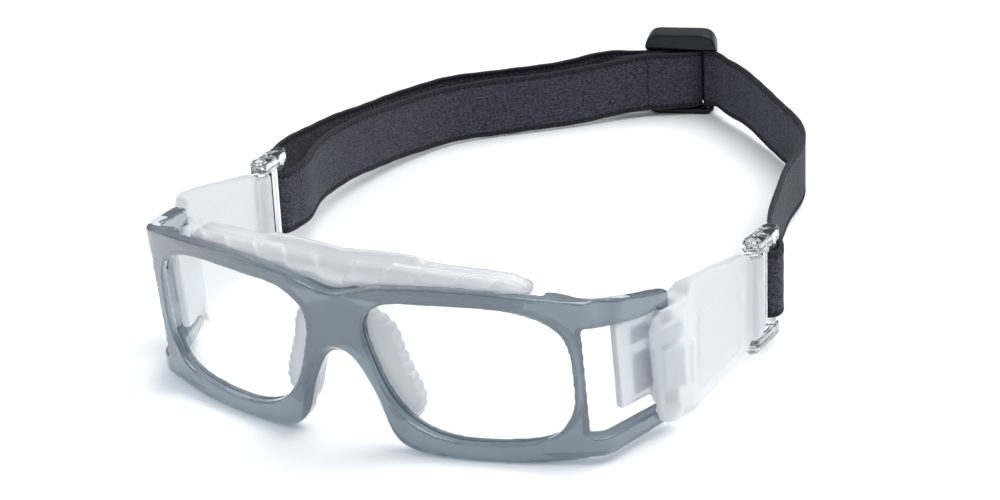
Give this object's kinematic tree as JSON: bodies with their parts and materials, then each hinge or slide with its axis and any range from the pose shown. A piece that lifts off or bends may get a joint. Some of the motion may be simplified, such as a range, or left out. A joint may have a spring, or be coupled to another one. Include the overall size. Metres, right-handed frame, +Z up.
{
  "type": "sports protective goggles",
  "caption": "Wrap-round sports goggles: moulded frame, clear lenses, soft brow and nose pads, hinged side pieces, strap buckles and an adjustable elastic strap.",
  "frame": {"origin": "on the surface that the goggles rest on, in the middle plane, below the front of the bridge, where the wearer's nose enters", "axes": "+Z up, +X to the right seen from the front (the wearer's left), +Y backwards from the lenses to the strap's slider"},
  "size_m": [0.1764, 0.2699, 0.0544],
  "materials": {
    "frame": "smoke grey clear polycarbonate, polished",
    "lens": "clear polycarbonate",
    "silicone": "translucent white silicone, satin",
    "side_piece": "translucent white elastomer, satin",
    "insert": "smoke grey plastic",
    "crystal": "clear moulded plastic",
    "webbing": "woven elastic with rolled edges",
    "thread": "sewing thread",
    "slider": "satin moulded plastic"
  },
  "bodies": {
    "root": {"frame_front": "frame", "lens_left": "lens", "lens_right": "lens", "brow_pad": "silicone", "nose_pad": "silicone", "strap_right_run": "webbing", "strap_outer_layer": "webbing", "strap_inner_layer": "webbing"},
    "temple_left": {"temple_left": "side_piece", "hinge_insert_left": "insert"},
    "temple_right": {"temple_right": "side_piece", "hinge_insert_right": "insert"},
    "buckle_left": {"buckle_left": "crystal", "strap_left_fold": "webbing"},
    "buckle_right": {"buckle_right": "crystal", "strap_end_loop": "webbing", "stitching_buckle": "thread"},
    "slider": {"slider": "slider", "strap_slider_loop": "webbing", "stitching_slider": "thread"}
  },
  "joints": [
    {"name": "temple_right_fold", "type": "hinge", "parent": "root", "child": "temple_right", "pos_m": [0.07326, 0.04202, 0.0425], "axis": [0, -0.1191, 0.9929], "range_deg": [-2, 60], "deforming": ["strap_right_run"]},
    {"name": "temple_left_fold", "type": "hinge", "parent": "root", "child": "temple_left", "pos_m": [-0.07326, 0.04202, 0.0425], "axis": [0, 0.1191, -0.9929], "range_deg": [-2, 60], "deforming": ["strap_outer_layer"]},
    {"name": "buckle_right_swing", "type": "hinge", "parent": "temple_right", "child": "buckle_right", "pos_m": [0.0783, 0.0918, 0.0195], "axis": [0, 0, 1], "range_deg": [-25, 25]},
    {"name": "buckle_left_swing", "type": "hinge", "parent": "temple_left", "child": "buckle_left", "pos_m": [-0.0783, 0.0918, 0.0195], "axis": [0, 0, -1], "range_deg": [-25, 25]},
    {"name": "slider_slide", "type": "slide", "parent": "root", "child": "slider", "axis": [0.9563, 0.2924, 0], "range_m": [-0.01, 0.01], "deforming": ["strap_inner_layer"]}
  ]
}
